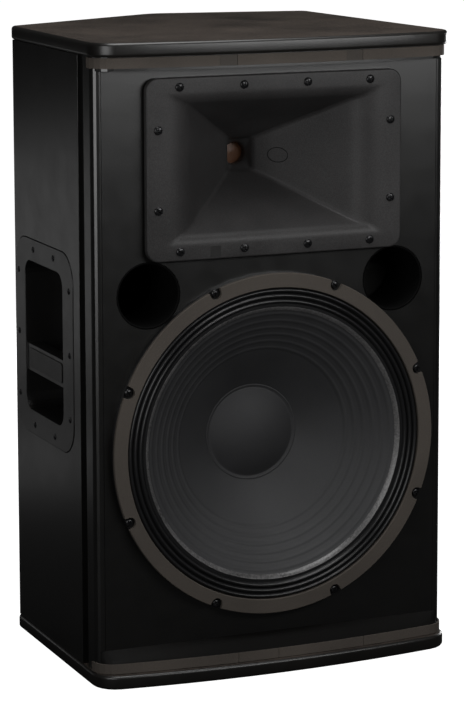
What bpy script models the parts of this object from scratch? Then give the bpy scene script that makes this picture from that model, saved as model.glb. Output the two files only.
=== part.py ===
"""PA speaker cabinet: a 15-inch woofer and a flared horn in a wedge-backed wooden box.

Metres, +Z up. The front looks along -Y, +X is the viewer's right. The origin is at the
middle of the underside. Depths on the front are counted forward from the baffle's face.
"""
from math import atan2, cos, pi, radians, sin, sqrt

import bmesh
import bpy
from mathutils import Matrix, Vector

# ---- driving dimensions ----------------------------------------------------------------
HEIGHT = 0.7127
BAFFLE_Y = -0.1689         # front face of the baffle
GAP = 0.0003               # clearance between neighbouring pieces
PLY = 0.013                # wall thickness of the box
BAFFLE_THICKNESS = 0.015

CAP_THICKNESS = 0.0158
CAP_HALF_WIDTH = 0.2155
CAP_FRONT = 0.035          # how far the cap's middle stands in front of the baffle
FRONT_ARC_RADIUS = 1.35
CAP_CORNER_RADIUS = 0.029
CAP_EDGE_RADIUS = 0.0038
CAP_SIDE_TURN = 0.012      # rounding of the caps' corners at the sides
CAP_BACK_TURN = 0.045      # and at the back, where the wedge ends
WEDGE_START = (-0.2155, 0.259)   # virtual corners of the back, depth from the baffle
WEDGE_END = (0.003, 0.375)
BACK_RIGHT = (0.194, 0.340)
PANEL_INSET = 0.002        # the walls stand this far inside the caps

CORNER_HALF_WIDTH = 0.2115  # the walls' front edge, in front of the grille groove
GROOVE = (0.0275, 0.0400)   # depth range of the groove down each side wall
GROOVE_DEPTH = 0.006
EDGE_RADIUS = 0.008         # rounding of the walls' front edge
TAPER = (0.030, 0.050)      # depth range where the inside widens behind the baffle
BAFFLE_HALF_WIDTH = 0.2012

STRIP_HALF_WIDTH = 0.2139   # outer face of the foam grille seat
STRIP_FRONT = 0.0275
STRIP_THICKNESS = 0.0014
TOP_STRIP = (0.6845, 0.6960)       # heights of the upper foam strip
BOTTOM_STRIP = (0.0164, 0.0272)    # heights of the lower foam strip
TOP_LEDGE_LOW = 0.6816
STRIP_CORNER_RADIUS = 0.0235
STRIP_END_DEPTH = 0.010
LEDGE_BACK_HEIGHT = 0.0400  # the bottom ledge slopes from the baffle down to the strip
LEDGE_FRONT_HEIGHT = 0.0277
CLIPS = (-0.0630, 0.0884)   # the two grille clips in the upper strip
CLIP_WIDTH = 0.0200
CLIP_RECESS = 0.0005
FOAM_JOINTS = (-0.0529, -0.0045, 0.1026)    # butt joints of the lower strip
JOINT_GAP = 0.0005

HORN_Z = 0.5715
HORN_HALF = (0.153, 0.1005)
HORN_CORNER = 0.014
HORN_FRONT = 0.0100         # the flange's face, forward of the baffle
HORN_FLANGE = 0.0072
THROAT_RADIUS = 0.0127
THROAT_DEPTH = 0.118
HORN_WALL = 0.003
SLOT_DEPTH = 0.103          # where the flare's straight walls start, behind the flange
SLOT_HALF = (0.015, 0.019)
FLARE_SLOPE = (1.04, 0.55)  # widening and heightening of the flare per unit of depth
FLARE_CORNER = 0.0045       # rounding where the flare's walls meet
DRIVER_SEAT_RADIUS = 0.044

WOOFER_Z = 0.2569
FRAME_RADIUS = 0.1935
FRAME_FLANGE = 0.0062
GASKET_INNER = 0.1772
GASKET_FRONT = 0.0110
WOOFER_HOLE = 0.1780
SCREW_CIRCLE = 0.1897
SCREW_COUNT = 8
SCREW_HEAD = 0.0042
SCREW_SHANK = 0.0022
SCREW_PLAY = 0.0004

CAP_RADIUS = 0.0512         # dust cap
CAP_RISE = 0.0150
SPIDER_OUTER, SPIDER_INNER, SPIDER_LEVEL = 0.0932, 0.0389, -0.0905

PORT_X, PORT_Z = 0.148, 0.4337
PORT_RADIUS = 0.0348
PORT_LENGTH = 0.080
PORT_WALL = 0.0024

HANDLE_DEPTHS = (0.060, 0.254)    # the plate's span, from the baffle backwards
HANDLE_HEIGHTS = (0.2455, 0.4735)
HANDLE_CORNER = 0.034
HOLE_DEPTHS = (0.0935, 0.2205)
HOLE_HEIGHTS = (0.2735, 0.4475)
HOLE_CORNER = 0.017
HANDLE_REBATE = 0.0028
CUP_WALL = 0.003
GRIP_HEIGHTS = (0.318, 0.349)
CUP_DEPTH = 0.062

POLE_Y = 0.000
POLE_RADIUS = 0.0178
POLE_DEPTH = 0.082
POLE_WALL = 0.0035
POLE_FLANGE_RADIUS = 0.0452
POLE_REBATE = 0.0040

ROUND = 48                  # facets of the large round pieces
SMALL_ROUND = 24

COLOURS = {                 # colour, roughness, metallic
    "paint": ((0.022, 0.022, 0.023, 1), 0.45, 0.0),
    "textured_paint": ((0.045, 0.042, 0.038, 1), 0.6, 0.0),
    "raw_ply": ((0.42, 0.29, 0.17, 1), 0.7, 0.0),
    "foam": ((0.11, 0.095, 0.078, 1), 0.9, 0.0),
    "black_foam": ((0.01, 0.01, 0.01, 1), 0.95, 0.0),
    "horn_plastic": ((0.028, 0.028, 0.030, 1), 0.42, 0.0),
    "plastic": ((0.020, 0.020, 0.021, 1), 0.5, 0.0),
    "black_steel": ((0.015, 0.015, 0.016, 1), 0.35, 0.6),
    "steel": ((0.45, 0.45, 0.46, 1), 0.35, 1.0),
    "ferrite": ((0.05, 0.05, 0.052, 1), 0.6, 0.0),
    "paper": ((0.030, 0.031, 0.034, 1), 0.7, 0.0),
    "cloth": ((0.015, 0.015, 0.016, 1), 0.8, 0.0),
    "spider_cloth": ((0.30, 0.20, 0.09, 1), 0.85, 0.0),
    "tan": ((0.55, 0.33, 0.19, 1), 0.6, 0.0),
    "copper": ((0.55, 0.25, 0.12, 1), 0.35, 1.0),
    "board": ((0.02, 0.12, 0.05, 1), 0.5, 0.0),
    "wadding": ((0.6, 0.6, 0.58, 1), 1.0, 0.0),
}


# ---- scene helpers ---------------------------------------------------------------------
for old in list(bpy.data.objects):
    bpy.data.objects.remove(old, do_unlink=True)

PARTS = bpy.data.collections.new("pa_speaker_cabinet")
CUTTERS = bpy.data.collections.new("cutters")
bpy.context.scene.collection.children.link(PARTS)
bpy.context.scene.collection.children.link(CUTTERS)


def material(name):
    found = bpy.data.materials.get(name)
    if found:
        return found
    colour, roughness, metallic = COLOURS[name]
    made = bpy.data.materials.new(name)
    made.use_nodes = True
    shader = made.node_tree.nodes["Principled BSDF"]
    shader.inputs["Base Color"].default_value = colour
    shader.inputs["Roughness"].default_value = roughness
    shader.inputs["Metallic"].default_value = metallic
    made.diffuse_color = colour
    return made


def add_object(name, bm, finish, smooth=None):
    """Turn a bmesh into a named piece; finish None makes it a cutter."""
    mesh = bpy.data.meshes.new(name)
    bm.to_mesh(mesh)
    bm.free()
    if smooth is not None:
        mesh.shade_smooth()
        mesh.set_sharp_from_angle(angle=radians(smooth))
    made = bpy.data.objects.new(name, mesh)
    if finish is None:
        CUTTERS.objects.link(made)
        made.hide_render = True
        made.display_type = "WIRE"
    else:
        PARTS.objects.link(made)
        mesh.materials.append(material(finish))
    return made


def cut(piece, cutter, operation="DIFFERENCE"):
    made = piece.modifiers.new("cut_" + cutter.name, "BOOLEAN")
    made.operation = operation
    made.solver = "EXACT"
    made.object = cutter


def round_edges(piece, width, segments=2, angle=40):
    made = piece.modifiers.new("rounded", "BEVEL")
    made.width = width
    made.segments = segments
    made.limit_method = "ANGLE"
    made.angle_limit = radians(angle)
    made.harden_normals = False


def prism_mesh(outline, low, high, axis="Z"):
    """Close an outline and extrude it from low to high along Z, or along X or Y."""
    bm = bmesh.new()
    ring = [bm.verts.new((a, b, low)) for a, b in outline]
    face = bm.faces.new(ring)
    raised = bmesh.ops.extrude_face_region(bm, geom=[face])["geom"]
    lifted = [v for v in raised if isinstance(v, bmesh.types.BMVert)]
    bmesh.ops.translate(bm, verts=lifted, vec=(0, 0, high - low))
    turn = {"Z": Matrix.Identity(4),
            "X": Matrix(((0, 0, 1, 0), (1, 0, 0, 0), (0, 1, 0, 0), (0, 0, 0, 1))),
            "Y": Matrix(((1, 0, 0, 0), (0, 0, 1, 0), (0, 1, 0, 0), (0, 0, 0, 1)))}[axis]
    bm.transform(turn)
    bm.normal_update()
    bmesh.ops.recalc_face_normals(bm, faces=bm.faces)
    return bm


def prism(name, outline, low, high, finish, axis="Z", smooth=30):
    return add_object(name, prism_mesh(outline, low, high, axis), finish, smooth)


def box(name, low, high, finish):
    bm = bmesh.new()
    bmesh.ops.create_cube(bm, size=1.0)
    size = [h - l for l, h in zip(low, high)]
    middle = [(h + l) / 2 for l, h in zip(low, high)]
    bm.transform(Matrix.Translation(middle) @ Matrix.Diagonal((*size, 1)))
    return add_object(name, bm, finish)


def arc(centre, radius, start, end, steps):
    """Points along an arc, angles in degrees counted from +X."""
    points = []
    for i in range(steps + 1):
        angle = radians(start + (end - start) * i / steps)
        points.append((centre[0] + radius * cos(angle), centre[1] + radius * sin(angle)))
    return points


def circle(centre, radius, steps):
    return arc(centre, radius, 0, 360 - 360 / steps, steps - 1)


def rounded_rectangle(low, high, radius, steps=6):
    corners = ((high[0] - radius, high[1] - radius, 0), (low[0] + radius, high[1] - radius, 90),
               (low[0] + radius, low[1] + radius, 180), (high[0] - radius, low[1] + radius, 270))
    points = []
    for x, y, start in corners:
        points += arc((x, y), radius, start, start + 90, steps)
    return points


def rounded_corner(before, corner, after, radius, steps):
    """Arc that rounds the corner between two straight runs."""
    corner = Vector(corner)
    to_before = (Vector(before) - corner).normalized()
    to_after = (Vector(after) - corner).normalized()
    half = to_before.angle(to_after) / 2
    start = corner + to_before * radius / tan_of(half)
    end = corner + to_after * radius / tan_of(half)
    centre = corner + (to_before + to_after).normalized() * radius / sin(half)
    first = atan2(start.y - centre.y, start.x - centre.x)
    last = atan2(end.y - centre.y, end.x - centre.x)
    sweep = (last - first + pi) % (2 * pi) - pi
    return arc(centre, radius, first * 180 / pi, (first + sweep) * 180 / pi, steps)


def tan_of(angle):
    return sin(angle) / cos(angle)


def turned(name, profile, height, finish, x=0.0, steps=ROUND, closed=True, smooth=35):
    """Turn a profile of (radius, forward) points about an axis that looks out of the baffle.

    The profile runs front to back down its outer side. A closed profile is a ring.
    """
    bm = bmesh.new()
    verts = [bm.verts.new((radius, 0, forward)) for radius, forward in profile]
    for a, b in zip(verts, verts[1:]):
        bm.edges.new((a, b))
    if closed:
        bm.edges.new((verts[-1], verts[0]))
    made = add_object(name, bm, finish, smooth)
    made.location = (x, BAFFLE_Y, height)
    made.rotation_euler = (pi / 2, 0, 0)
    spin = made.modifiers.new("turned", "SCREW")
    spin.axis = "Z"
    spin.steps = steps
    spin.render_steps = steps
    spin.use_merge_vertices = True
    spin.merge_threshold = 0.00001
    spin.use_smooth_shade = True
    return made


def ring_profile(inner, outer, front, back):
    return [(outer, front), (outer, back), (inner, back), (inner, front)]


# ---- outlines of the box ---------------------------------------------------------------
def front_run(half_width, front, corner_radius, end_depth, steps=10, corner_steps=5):
    """Left to right round the bowed front, from one side to the other (depths, not Y)."""
    arc_y = -front + FRONT_ARC_RADIUS
    corner_x = half_width - corner_radius
    reach = sqrt((FRONT_ARC_RADIUS - corner_radius) ** 2 - corner_x ** 2)
    corner_y = arc_y - reach
    tilt = atan2(corner_x, reach) * 180 / pi
    left = arc((-corner_x, corner_y), corner_radius, 180, 270 - tilt, corner_steps)
    front_arc = arc((0, arc_y), FRONT_ARC_RADIUS, 270 - tilt, 270 + tilt, steps)[1:-1]
    right = arc((corner_x, corner_y), corner_radius, 270 + tilt, 360, corner_steps)
    return [(-half_width, end_depth)] + left + front_arc + right + [(half_width, end_depth)]


def cap_outline(inset=0.0):
    """Plan of a cap, with every edge moved in by the same inset."""
    half = CAP_HALF_WIDTH - inset
    front = front_run(half, CAP_FRONT - inset, CAP_CORNER_RADIUS - inset, 0.02)[1:-1]
    start, end, right = back_corners(inset)
    side = (half, front[-1][1])
    back = rounded_corner(side, right, end, CAP_SIDE_TURN, 4)
    middle = rounded_corner(right, end, start, CAP_BACK_TURN, 6)
    left = rounded_corner(end, start, (-half, 0), CAP_SIDE_TURN, 4)
    return front + back + middle + left


def line_crossing(a, b, c, d):
    """Where the line through a and b meets the line through c and d."""
    ab, cd, ac = Vector(b) - Vector(a), Vector(d) - Vector(c), Vector(c) - Vector(a)
    t = (ac.x * cd.y - ac.y * cd.x) / (ab.x * cd.y - ab.y * cd.x)
    return Vector(a) + ab * t


def shifted(a, b, inset):
    """The line through a and b moved to its left-hand side by inset."""
    along = (Vector(b) - Vector(a)).normalized()
    side = Vector((-along.y, along.x)) * inset
    return Vector(a) + side, Vector(b) + side


def walls(inset):
    """The four outer lines of the box, each moved in: right, back, wedge, left."""
    front_right = (CAP_HALF_WIDTH, 0.0)
    front_left = (-CAP_HALF_WIDTH, 0.0)
    corners = [front_right, BACK_RIGHT, WEDGE_END, WEDGE_START, front_left]
    return [shifted(a, b, inset) for a, b in zip(corners, corners[1:])]


def back_corners(inset):
    """The box's back corners moved in: wedge start, wedge end, back right."""
    right, back, wedge, left = walls(inset)
    return (line_crossing(*wedge, *left), line_crossing(*back, *wedge),
            line_crossing(*right, *back))


def placed(points):
    """Move outline points from depth behind the baffle to world Y."""
    return [(p[0], p[1] + BAFFLE_Y) for p in points]


# ---- the wooden box --------------------------------------------------------------------
WALL_LOW = CAP_THICKNESS + GAP
WALL_HIGH = HEIGHT - CAP_THICKNESS - GAP


def make_caps():
    outline = placed(cap_outline())
    bottom = prism("bottom_cap", outline, 0.0, CAP_THICKNESS, "textured_paint")
    top = prism("top_cap", outline, HEIGHT - CAP_THICKNESS, HEIGHT, "textured_paint")
    for cap in (bottom, top):
        round_edges(cap, CAP_EDGE_RADIUS, 2, 60)
    socket_hole = circle((0, POLE_Y), POLE_RADIUS + POLE_WALL + 2 * GAP, 24)
    rebate = circle((0, POLE_Y), POLE_FLANGE_RADIUS + 2 * GAP, 24)
    cut(bottom, prism("pole_hole", socket_hole, -0.01, 0.05, None))
    cut(bottom, prism("pole_rebate", rebate, -0.01, POLE_REBATE, None))


def side_panel(name, side):
    """A side wall: front edge, grille groove, then the flat side back to the wedge."""
    right, _, _, left = walls(PANEL_INSET)
    (near, far) = left if side < 0 else right
    start, _, right_corner = back_corners(PANEL_INSET)
    inner_start, _, inner_right = back_corners(PANEL_INSET + PLY)
    end, inner_end = (start, inner_start) if side < 0 else (right_corner, inner_right)
    clearance = Vector((0, -1.5 * GAP))
    end, inner_end = end + clearance, inner_end + clearance

    def outer_x(depth):
        return near.x + (far.x - near.x) * (depth - near.y) / (far.y - near.y)

    inner_front = side * (BAFFLE_HALF_WIDTH + GAP)
    edge = side * CORNER_HALF_WIDTH
    floor = edge - side * GROOVE_DEPTH
    centre = (edge - side * EDGE_RADIUS, EDGE_RADIUS)
    corner = arc(centre, EDGE_RADIUS, 180 if side < 0 else 360, 270, 4)
    points = corner[::-1] + [(edge, GROOVE[0]), (floor, GROOVE[0]), (floor, GROOVE[1]),
                             (outer_x(GROOVE[1]), GROOVE[1]), tuple(end), tuple(inner_end),
                             (outer_x(TAPER[1]) - side * PLY, TAPER[1]),
                             (inner_front, TAPER[0]), (inner_front, 0.0)]
    return prism(name, placed(points), WALL_LOW, WALL_HIGH, "paint")


def back_panel(name, line, corner_a, corner_b):
    """A flat wall of the back between two mitred corners (outer, inner) pairs."""
    along = (line[1] - line[0]).normalized() * GAP
    points = [corner_a[0] + along, corner_b[0] - along, corner_b[1] - along,
              corner_a[1] + along]
    return prism(name, placed(points), WALL_LOW, WALL_HIGH, "paint")


def make_box():
    """The four walls, with the holes for the handles and the input plate."""
    outer = back_corners(PANEL_INSET)
    inner = back_corners(PANEL_INSET + PLY)
    _, back, wedge, _ = walls(PANEL_INSET)
    start, end, right = zip(outer, inner)
    back_panel("wedge_panel", wedge, end, start)
    rear = back_panel("rear_panel", back, right, end)
    cut(rear, input_cutout())
    for name, side in (("left_side_panel", -1), ("right_side_panel", 1)):
        panel = side_panel(name, side)
        for cutter in handle_cutters(side):
            cut(panel, cutter)


def make_baffle():
    """Front board with holes for the woofer, the horn, the ports and the screws."""
    baffle = box("baffle", (-BAFFLE_HALF_WIDTH, BAFFLE_Y, WALL_LOW),
                 (BAFFLE_HALF_WIDTH, BAFFLE_Y + BAFFLE_THICKNESS, WALL_HIGH), "paint")

    def through(name, outline):
        cut(baffle, prism(name, outline, BAFFLE_Y - 0.01, BAFFLE_Y + 0.03, None, axis="Y"))

    through("woofer_hole", circle((0, WOOFER_Z), WOOFER_HOLE, ROUND))
    width, height = HORN_HALF[0] - 0.0205, HORN_HALF[1] - 0.013
    through("horn_hole", rounded_rectangle((-width, HORN_Z - height), (width, HORN_Z + height),
                                           0.012, 4))
    for side in (-1, 1):
        through(f"port_hole_{side}",
                circle((side * PORT_X, PORT_Z), PORT_RADIUS + PORT_WALL + GAP, 32))
    for i, place in enumerate(screw_places()):
        through(f"pilot_{i}", circle(place, SCREW_SHANK + SCREW_PLAY, 8))


def clipped(run, limit):
    """The part of a run that lies in front of a depth, with its ends on that depth."""
    kept = []
    for a, b in zip(run, run[1:]):
        if (a[1] > limit) != (b[1] > limit):
            t = (limit - a[1]) / (b[1] - a[1])
            kept.append((a[0] + (b[0] - a[0]) * t, limit))
        if b[1] < limit:
            kept.append(b)
    return kept


def make_ledges():
    """Ledges in front of the baffle, at the caps: the grille's frame rests on them."""
    run = front_run(CORNER_HALF_WIDTH - 0.0002, STRIP_FRONT - STRIP_THICKNESS - GAP,
                    STRIP_CORNER_RADIUS, 0.0)
    outline = placed(clipped(run, -GAP))
    prism("top_ledge", outline, TOP_LEDGE_LOW, WALL_HIGH, "paint")
    front = outline[1:-1]
    at_baffle = [(x, BAFFLE_Y - GAP) for x, _ in front]
    at_baffle[0], at_baffle[-1] = outline[0], outline[-1]
    bm = bmesh.new()
    rows = [[bm.verts.new((x, y, z)) for x, y in points]
            for points, z in ((at_baffle, WALL_LOW), (front, WALL_LOW),
                              (front, LEDGE_FRONT_HEIGHT), (at_baffle, LEDGE_BACK_HEIGHT))]
    for first, second in zip(rows, rows[1:] + rows[:1]):
        for a, b, c, d in zip(first, first[1:], second[1:], second):
            bm.faces.new((a, b, c, d))
    for end in (0, -1):
        bm.faces.new([row[end] for row in rows])
    bm.normal_update()
    bmesh.ops.recalc_face_normals(bm, faces=bm.faces)
    add_object("bottom_ledge", bm, "paint", 30)


def front_at(x, front):
    """Depth of the bowed front at a place across it."""
    return -front + FRONT_ARC_RADIUS - sqrt(FRONT_ARC_RADIUS ** 2 - x * x)


def foam_length(name, first, last, heights, recess=0.0):
    """A length of foam strip round the bowed front, between two places across it."""
    ring = []
    for half, front, turn in (
            (STRIP_HALF_WIDTH, STRIP_FRONT - recess, STRIP_CORNER_RADIUS + 0.0015),
            (STRIP_HALF_WIDTH - STRIP_THICKNESS, STRIP_FRONT - STRIP_THICKNESS,
             STRIP_CORNER_RADIUS + 0.0001)):
        run = front_run(half, front, turn, STRIP_END_DEPTH, steps=22)
        run = [p for p in run if first < p[0] < last]
        if first > -half:
            run.insert(0, (first, front_at(first, front)))
        if last < half:
            run.append((last, front_at(last, front)))
        ring += run[::-1] if ring else run
    prism(name, placed(ring), *heights, "foam")


def make_strips():
    """Foam grille seats round the ledges; clips interrupt the upper one."""
    far = CAP_HALF_WIDTH
    reach = CLIP_WIDTH / 2 + GAP
    cuts = [-far] + [x + side * reach for x in CLIPS for side in (-1, 1)] + [far]
    for place, first, last in zip(("left", "centre", "right"), cuts[::2], cuts[1::2]):
        foam_length(f"top_foam_{place}", first, last, TOP_STRIP)
    half = JOINT_GAP / 2
    cuts = [-far] + [x + side * half for x in FOAM_JOINTS for side in (-1, 1)] + [far]
    for place, first, last in zip(("left", "centre_left", "centre_right", "right"),
                                  cuts[::2], cuts[1::2]):
        foam_length(f"bottom_foam_{place}", first, last, BOTTOM_STRIP)
    for place, x in zip(("left", "right"), CLIPS):
        foam_length(f"top_clip_{place}", x - CLIP_WIDTH / 2, x + CLIP_WIDTH / 2, TOP_STRIP,
                    CLIP_RECESS)


def make_brace():
    """Shelf brace across the box, behind the ports, with a window for wiring."""
    low = 0.4715
    right, back, wedge, left = walls(PANEL_INSET + PLY + 0.0005)
    front = (Vector((-1, 0.150)), Vector((1, 0.150)))
    corners = [line_crossing(*front, *right), line_crossing(*right, *back),
               line_crossing(*back, *wedge), line_crossing(*wedge, *left),
               line_crossing(*left, *front)]
    brace = prism("shelf_brace", placed(corners), low, low + PLY, "raw_ply")
    window = rounded_rectangle((-0.10, 0.185), (0.11, 0.275), 0.02, 4)
    cut(brace, prism("brace_window", placed(window), low - 0.01, low + 0.03, None))
    room = 0.008
    for side in (-1, 1):
        reach = side * (CAP_HALF_WIDTH - PANEL_INSET - CUP_DEPTH - 0.004)
        near, far = sorted((reach, side * 0.25))
        cut(brace, box(f"cup_room_{side}", (near, BAFFLE_Y + HOLE_DEPTHS[0] - room, low - 0.01),
                       (far, BAFFLE_Y + HOLE_DEPTHS[1] + room, low + 0.002), None))


# ---- horn and compression driver -------------------------------------------------------
def horn_section(half_width, half_height, radius, forward):
    """One rounded-rectangle ring of the horn, at a distance forward of the baffle."""
    points = rounded_rectangle((-half_width, -half_height), (half_width, half_height),
                               min(radius, half_width, half_height) * 0.999, 5)
    return [(x, BAFFLE_Y - forward, HORN_Z + z) for x, z in points]


def horn_sizes(depth):
    """Inner half width and half height at a depth behind the flange's face."""
    behind = max(0.0, SLOT_DEPTH - depth)
    width, height = [half + behind * slope for half, slope in zip(SLOT_HALF, FLARE_SLOPE)]
    width += 0.011 * max(0.0, 1 - depth / 0.026) ** 2
    height += 0.003 * max(0.0, 1 - depth / 0.012) ** 2
    return width, height


def make_horn():
    """Flange, flare and throat as one shell, lofted inside to outside and back again."""
    throat = HORN_FRONT - THROAT_DEPTH
    inside = [(THROAT_RADIUS, THROAT_RADIUS, THROAT_RADIUS, throat)]
    for depth in (SLOT_DEPTH, 0.075, 0.045, 0.026, 0.014, 0.006, 0.0015, 0.0):
        width, height = horn_sizes(depth)
        inside.append((width, height, FLARE_CORNER, HORN_FRONT - depth))
    outside = []
    for depth in (0.014, 0.045, 0.075, 0.100):
        width, height = horn_sizes(depth)
        outside.append((width + HORN_WALL, height + HORN_WALL, FLARE_CORNER + HORN_WALL,
                        HORN_FRONT - depth))
    seat = DRIVER_SEAT_RADIUS
    outside += [(0.024, 0.024, 0.024, throat + 0.012), (seat, seat, seat, throat + 0.006),
                (seat, seat, seat, throat)]
    width, height = HORN_HALF
    rim = HORN_FRONT - HORN_FLANGE
    edge = 0.0015
    mouth_width, mouth_height = horn_sizes(HORN_FLANGE)
    flange = [(width - edge, height - edge, HORN_CORNER - edge, HORN_FRONT),
              (width, height, HORN_CORNER, HORN_FRONT - edge),
              (width, height, HORN_CORNER, rim),
              (mouth_width + HORN_WALL, mouth_height + HORN_WALL, 0.008, rim)]
    sections = [horn_section(*size) for size in inside + flange + outside]
    bm = bmesh.new()
    rings = [[bm.verts.new(p) for p in section] for section in sections]
    for first, second in zip(rings, rings[1:] + rings[:1]):
        for i in range(len(first)):
            j = (i + 1) % len(first)
            bm.faces.new((first[i], first[j], second[j], second[i]))
    bm.normal_update()
    bmesh.ops.recalc_face_normals(bm, faces=bm.faces)
    add_object("horn", bm, "horn_plastic", 50)
    outline = rounded_rectangle((-width + edge, HORN_Z - height + edge),
                                (width - edge, HORN_Z + height - edge), 0.0125, 4)
    hole = rounded_rectangle((-width + 0.020, HORN_Z - height + 0.0125),
                             (width - 0.020, HORN_Z + height - 0.0125), 0.012, 4)
    gasket = prism("horn_gasket", outline, BAFFLE_Y - rim + GAP, BAFFLE_Y - GAP,
                   "black_foam", axis="Y")
    cut(gasket, prism("horn_gasket_hole", hole, BAFFLE_Y - 0.01, BAFFLE_Y + 0.01, None,
                      axis="Y"))


def make_driver():
    """Compression driver behind the horn's throat."""
    front = HORN_FRONT - THROAT_DEPTH - GAP
    body = [(0.050, front), (0.050, front - 0.030), (0.034, front - 0.030),
            (0.034, front - 0.014), (THROAT_RADIUS, front - 0.009), (THROAT_RADIUS, front)]
    turned("driver_body", body, HORN_Z, "black_steel", steps=SMALL_ROUND)
    plug = [(0.0001, front - 0.0100), (0.0100, front - 0.0112), (0.0325, front - 0.0160),
            (0.0325, front - 0.0215), (0.0200, front - 0.0185), (0.0001, front - 0.0170)]
    turned("driver_phase_plug", plug, HORN_Z, "tan", steps=SMALL_ROUND)
    dome = [(0.0001, front - 0.0185), (0.0120, front - 0.0195), (0.0240, front - 0.0228),
            (0.0320, front - 0.0235), (0.0320, front - 0.0241), (0.0240, front - 0.0234),
            (0.0120, front - 0.0201), (0.0001, front - 0.0191)]
    turned("driver_diaphragm", dome, HORN_Z, "copper", steps=SMALL_ROUND)
    cover = [(0.046, front - 0.0303), (0.046, front - 0.046), (0.040, front - 0.052),
             (0.0001, front - 0.052), (0.0001, front - 0.049), (0.039, front - 0.049),
             (0.042, front - 0.045), (0.042, front - 0.0303)]
    turned("driver_rear_cover", cover, HORN_Z, "plastic", steps=SMALL_ROUND)


# ---- woofer ----------------------------------------------------------------------------
def screw_angles():
    return [2 * pi * (i + 0.5) / SCREW_COUNT for i in range(SCREW_COUNT)]


def screw_places():
    return [(SCREW_CIRCLE * cos(angle), WOOFER_Z + SCREW_CIRCLE * sin(angle))
            for angle in screw_angles()]


def spun_about_woofer(angle):
    """A frame whose +Z looks out of the baffle at the woofer, spun about it."""
    return (Matrix.Translation((0, BAFFLE_Y, WOOFER_Z)) @ Matrix.Rotation(pi / 2, 4, "X")
            @ Matrix.Rotation(angle, 4, "Z"))


def make_woofer_frame():
    """Basket: a flange, six windows round the bowl and a seat for the motor."""
    profile = [(FRAME_RADIUS, FRAME_FLANGE), (FRAME_RADIUS, GAP), (0.1772, GAP),
               (0.1715, -0.0300), (0.1000, -0.0935), (0.0860, -0.1075), (0.0520, -0.1075),
               (0.0520, -0.1040), (0.0815, -0.1040), (0.0830, -0.0935), (0.0950, -0.0925),
               (0.0955, -0.0900), (0.1660, -0.0290), (0.1722, 0.0020), (0.1745, FRAME_FLANGE)]
    frame = turned("woofer_basket", profile, WOOFER_Z, "black_steel")
    for i in range(6):
        window = box(f"basket_window_{i}", (0.104, -0.036, -0.095), (0.190, 0.036, -0.034), None)
        window.matrix_world = spun_about_woofer(2 * pi * (i + 0.5) / 6)
        cut(frame, window)
    for i, place in enumerate(screw_places()):
        hole = prism(f"frame_screw_hole_{i}", circle(place, SCREW_SHANK + SCREW_PLAY, 8),
                     BAFFLE_Y - 0.012, BAFFLE_Y + 0.005, None, axis="Y")
        cut(frame, hole)


def make_gasket():
    """Front ring over the basket's flange, notched round each screw."""
    gasket = turned("woofer_gasket",
                    [(FRAME_RADIUS - 0.0008, GASKET_FRONT), (FRAME_RADIUS, GASKET_FRONT - 0.001),
                     (FRAME_RADIUS, FRAME_FLANGE + GAP), (GASKET_INNER, FRAME_FLANGE + GAP),
                     (GASKET_INNER, GASKET_FRONT - 0.001), (GASKET_INNER + 0.0008, GASKET_FRONT)],
                    WOOFER_Z, "foam")
    bite = SCREW_HEAD + 0.0028
    outline = arc((SCREW_CIRCLE, 0), bite, 90, 270, 8)
    outline += [(SCREW_CIRCLE + 0.02, -bite), (SCREW_CIRCLE + 0.02, bite)]
    for i, angle in enumerate(screw_angles()):
        notch = prism(f"gasket_notch_{i}", outline, 0.004, 0.02, None)
        notch.matrix_world = spun_about_woofer(angle)
        cut(gasket, notch)


def make_woofer_screws():
    seat = FRAME_FLANGE + GAP
    profile = [(0.0, seat + 0.0026), (0.0024, seat + 0.0023), (SCREW_HEAD, seat + 0.0010),
               (SCREW_HEAD, seat), (SCREW_SHANK, seat), (SCREW_SHANK, -0.018), (0.0, -0.020)]
    for i, (x, z) in enumerate(screw_places()):
        turned(f"woofer_screw_{i + 1}", profile, z, "black_steel", x=x, steps=12, closed=False)


def surround_profile():
    """Three half-rolls between the frame and the cone, as a thin sheet."""
    outer, inner, sheet = 0.1766, 0.1572, 0.0006
    count, depth, lift = 13, 0.0030, 0.0078
    middle = []
    for i in range(count):
        t = i / (count - 1)
        middle.append((outer + (inner - outer) * t, lift - 0.0020 * t + depth * sin(6 * pi * t) / 2))
    front = [(r, z + sheet / 2) for r, z in middle]
    back = [(r, z - sheet / 2) for r, z in middle]
    return front, back


def make_moving_parts():
    """Surround, cone, dust cap, voice coil and spider."""
    front, back = surround_profile()
    turned("woofer_surround", back + front[::-1], WOOFER_Z, "cloth", steps=40)
    cone = [(0.1558, 0.0070), (0.1558, 0.0058), (0.1200, -0.0150), (0.0700, -0.0480),
            (0.0395, -0.0735), (0.0385, -0.0735), (0.0385, -0.0718), (0.0690, -0.0462),
            (0.1190, -0.0132), (0.1545, 0.0070)]
    turned("woofer_cone", cone, WOOFER_Z, "paper")
    rim = -0.0318
    top = [(CAP_RADIUS * i / 5, rim + CAP_RISE * (1 - (i / 5) ** 2)) for i in range(6)]
    under = [(radius * 0.985, height - 0.0009) for radius, height in top[::-1]]
    turned("woofer_dust_cap", top + [(CAP_RADIUS, rim - 0.0012)] + under, WOOFER_Z, "paper",
           closed=False, steps=32)
    former = [(0.0381, -0.0700), (0.0381, -0.1040), (0.0386, -0.1042), (0.0386, -0.1180),
              (0.0370, -0.1180), (0.0370, -0.0700)]
    turned("voice_coil", former, WOOFER_Z, "copper", steps=SMALL_ROUND)
    turned("woofer_spider", spider_profile(), WOOFER_Z, "spider_cloth", steps=SMALL_ROUND)


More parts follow.
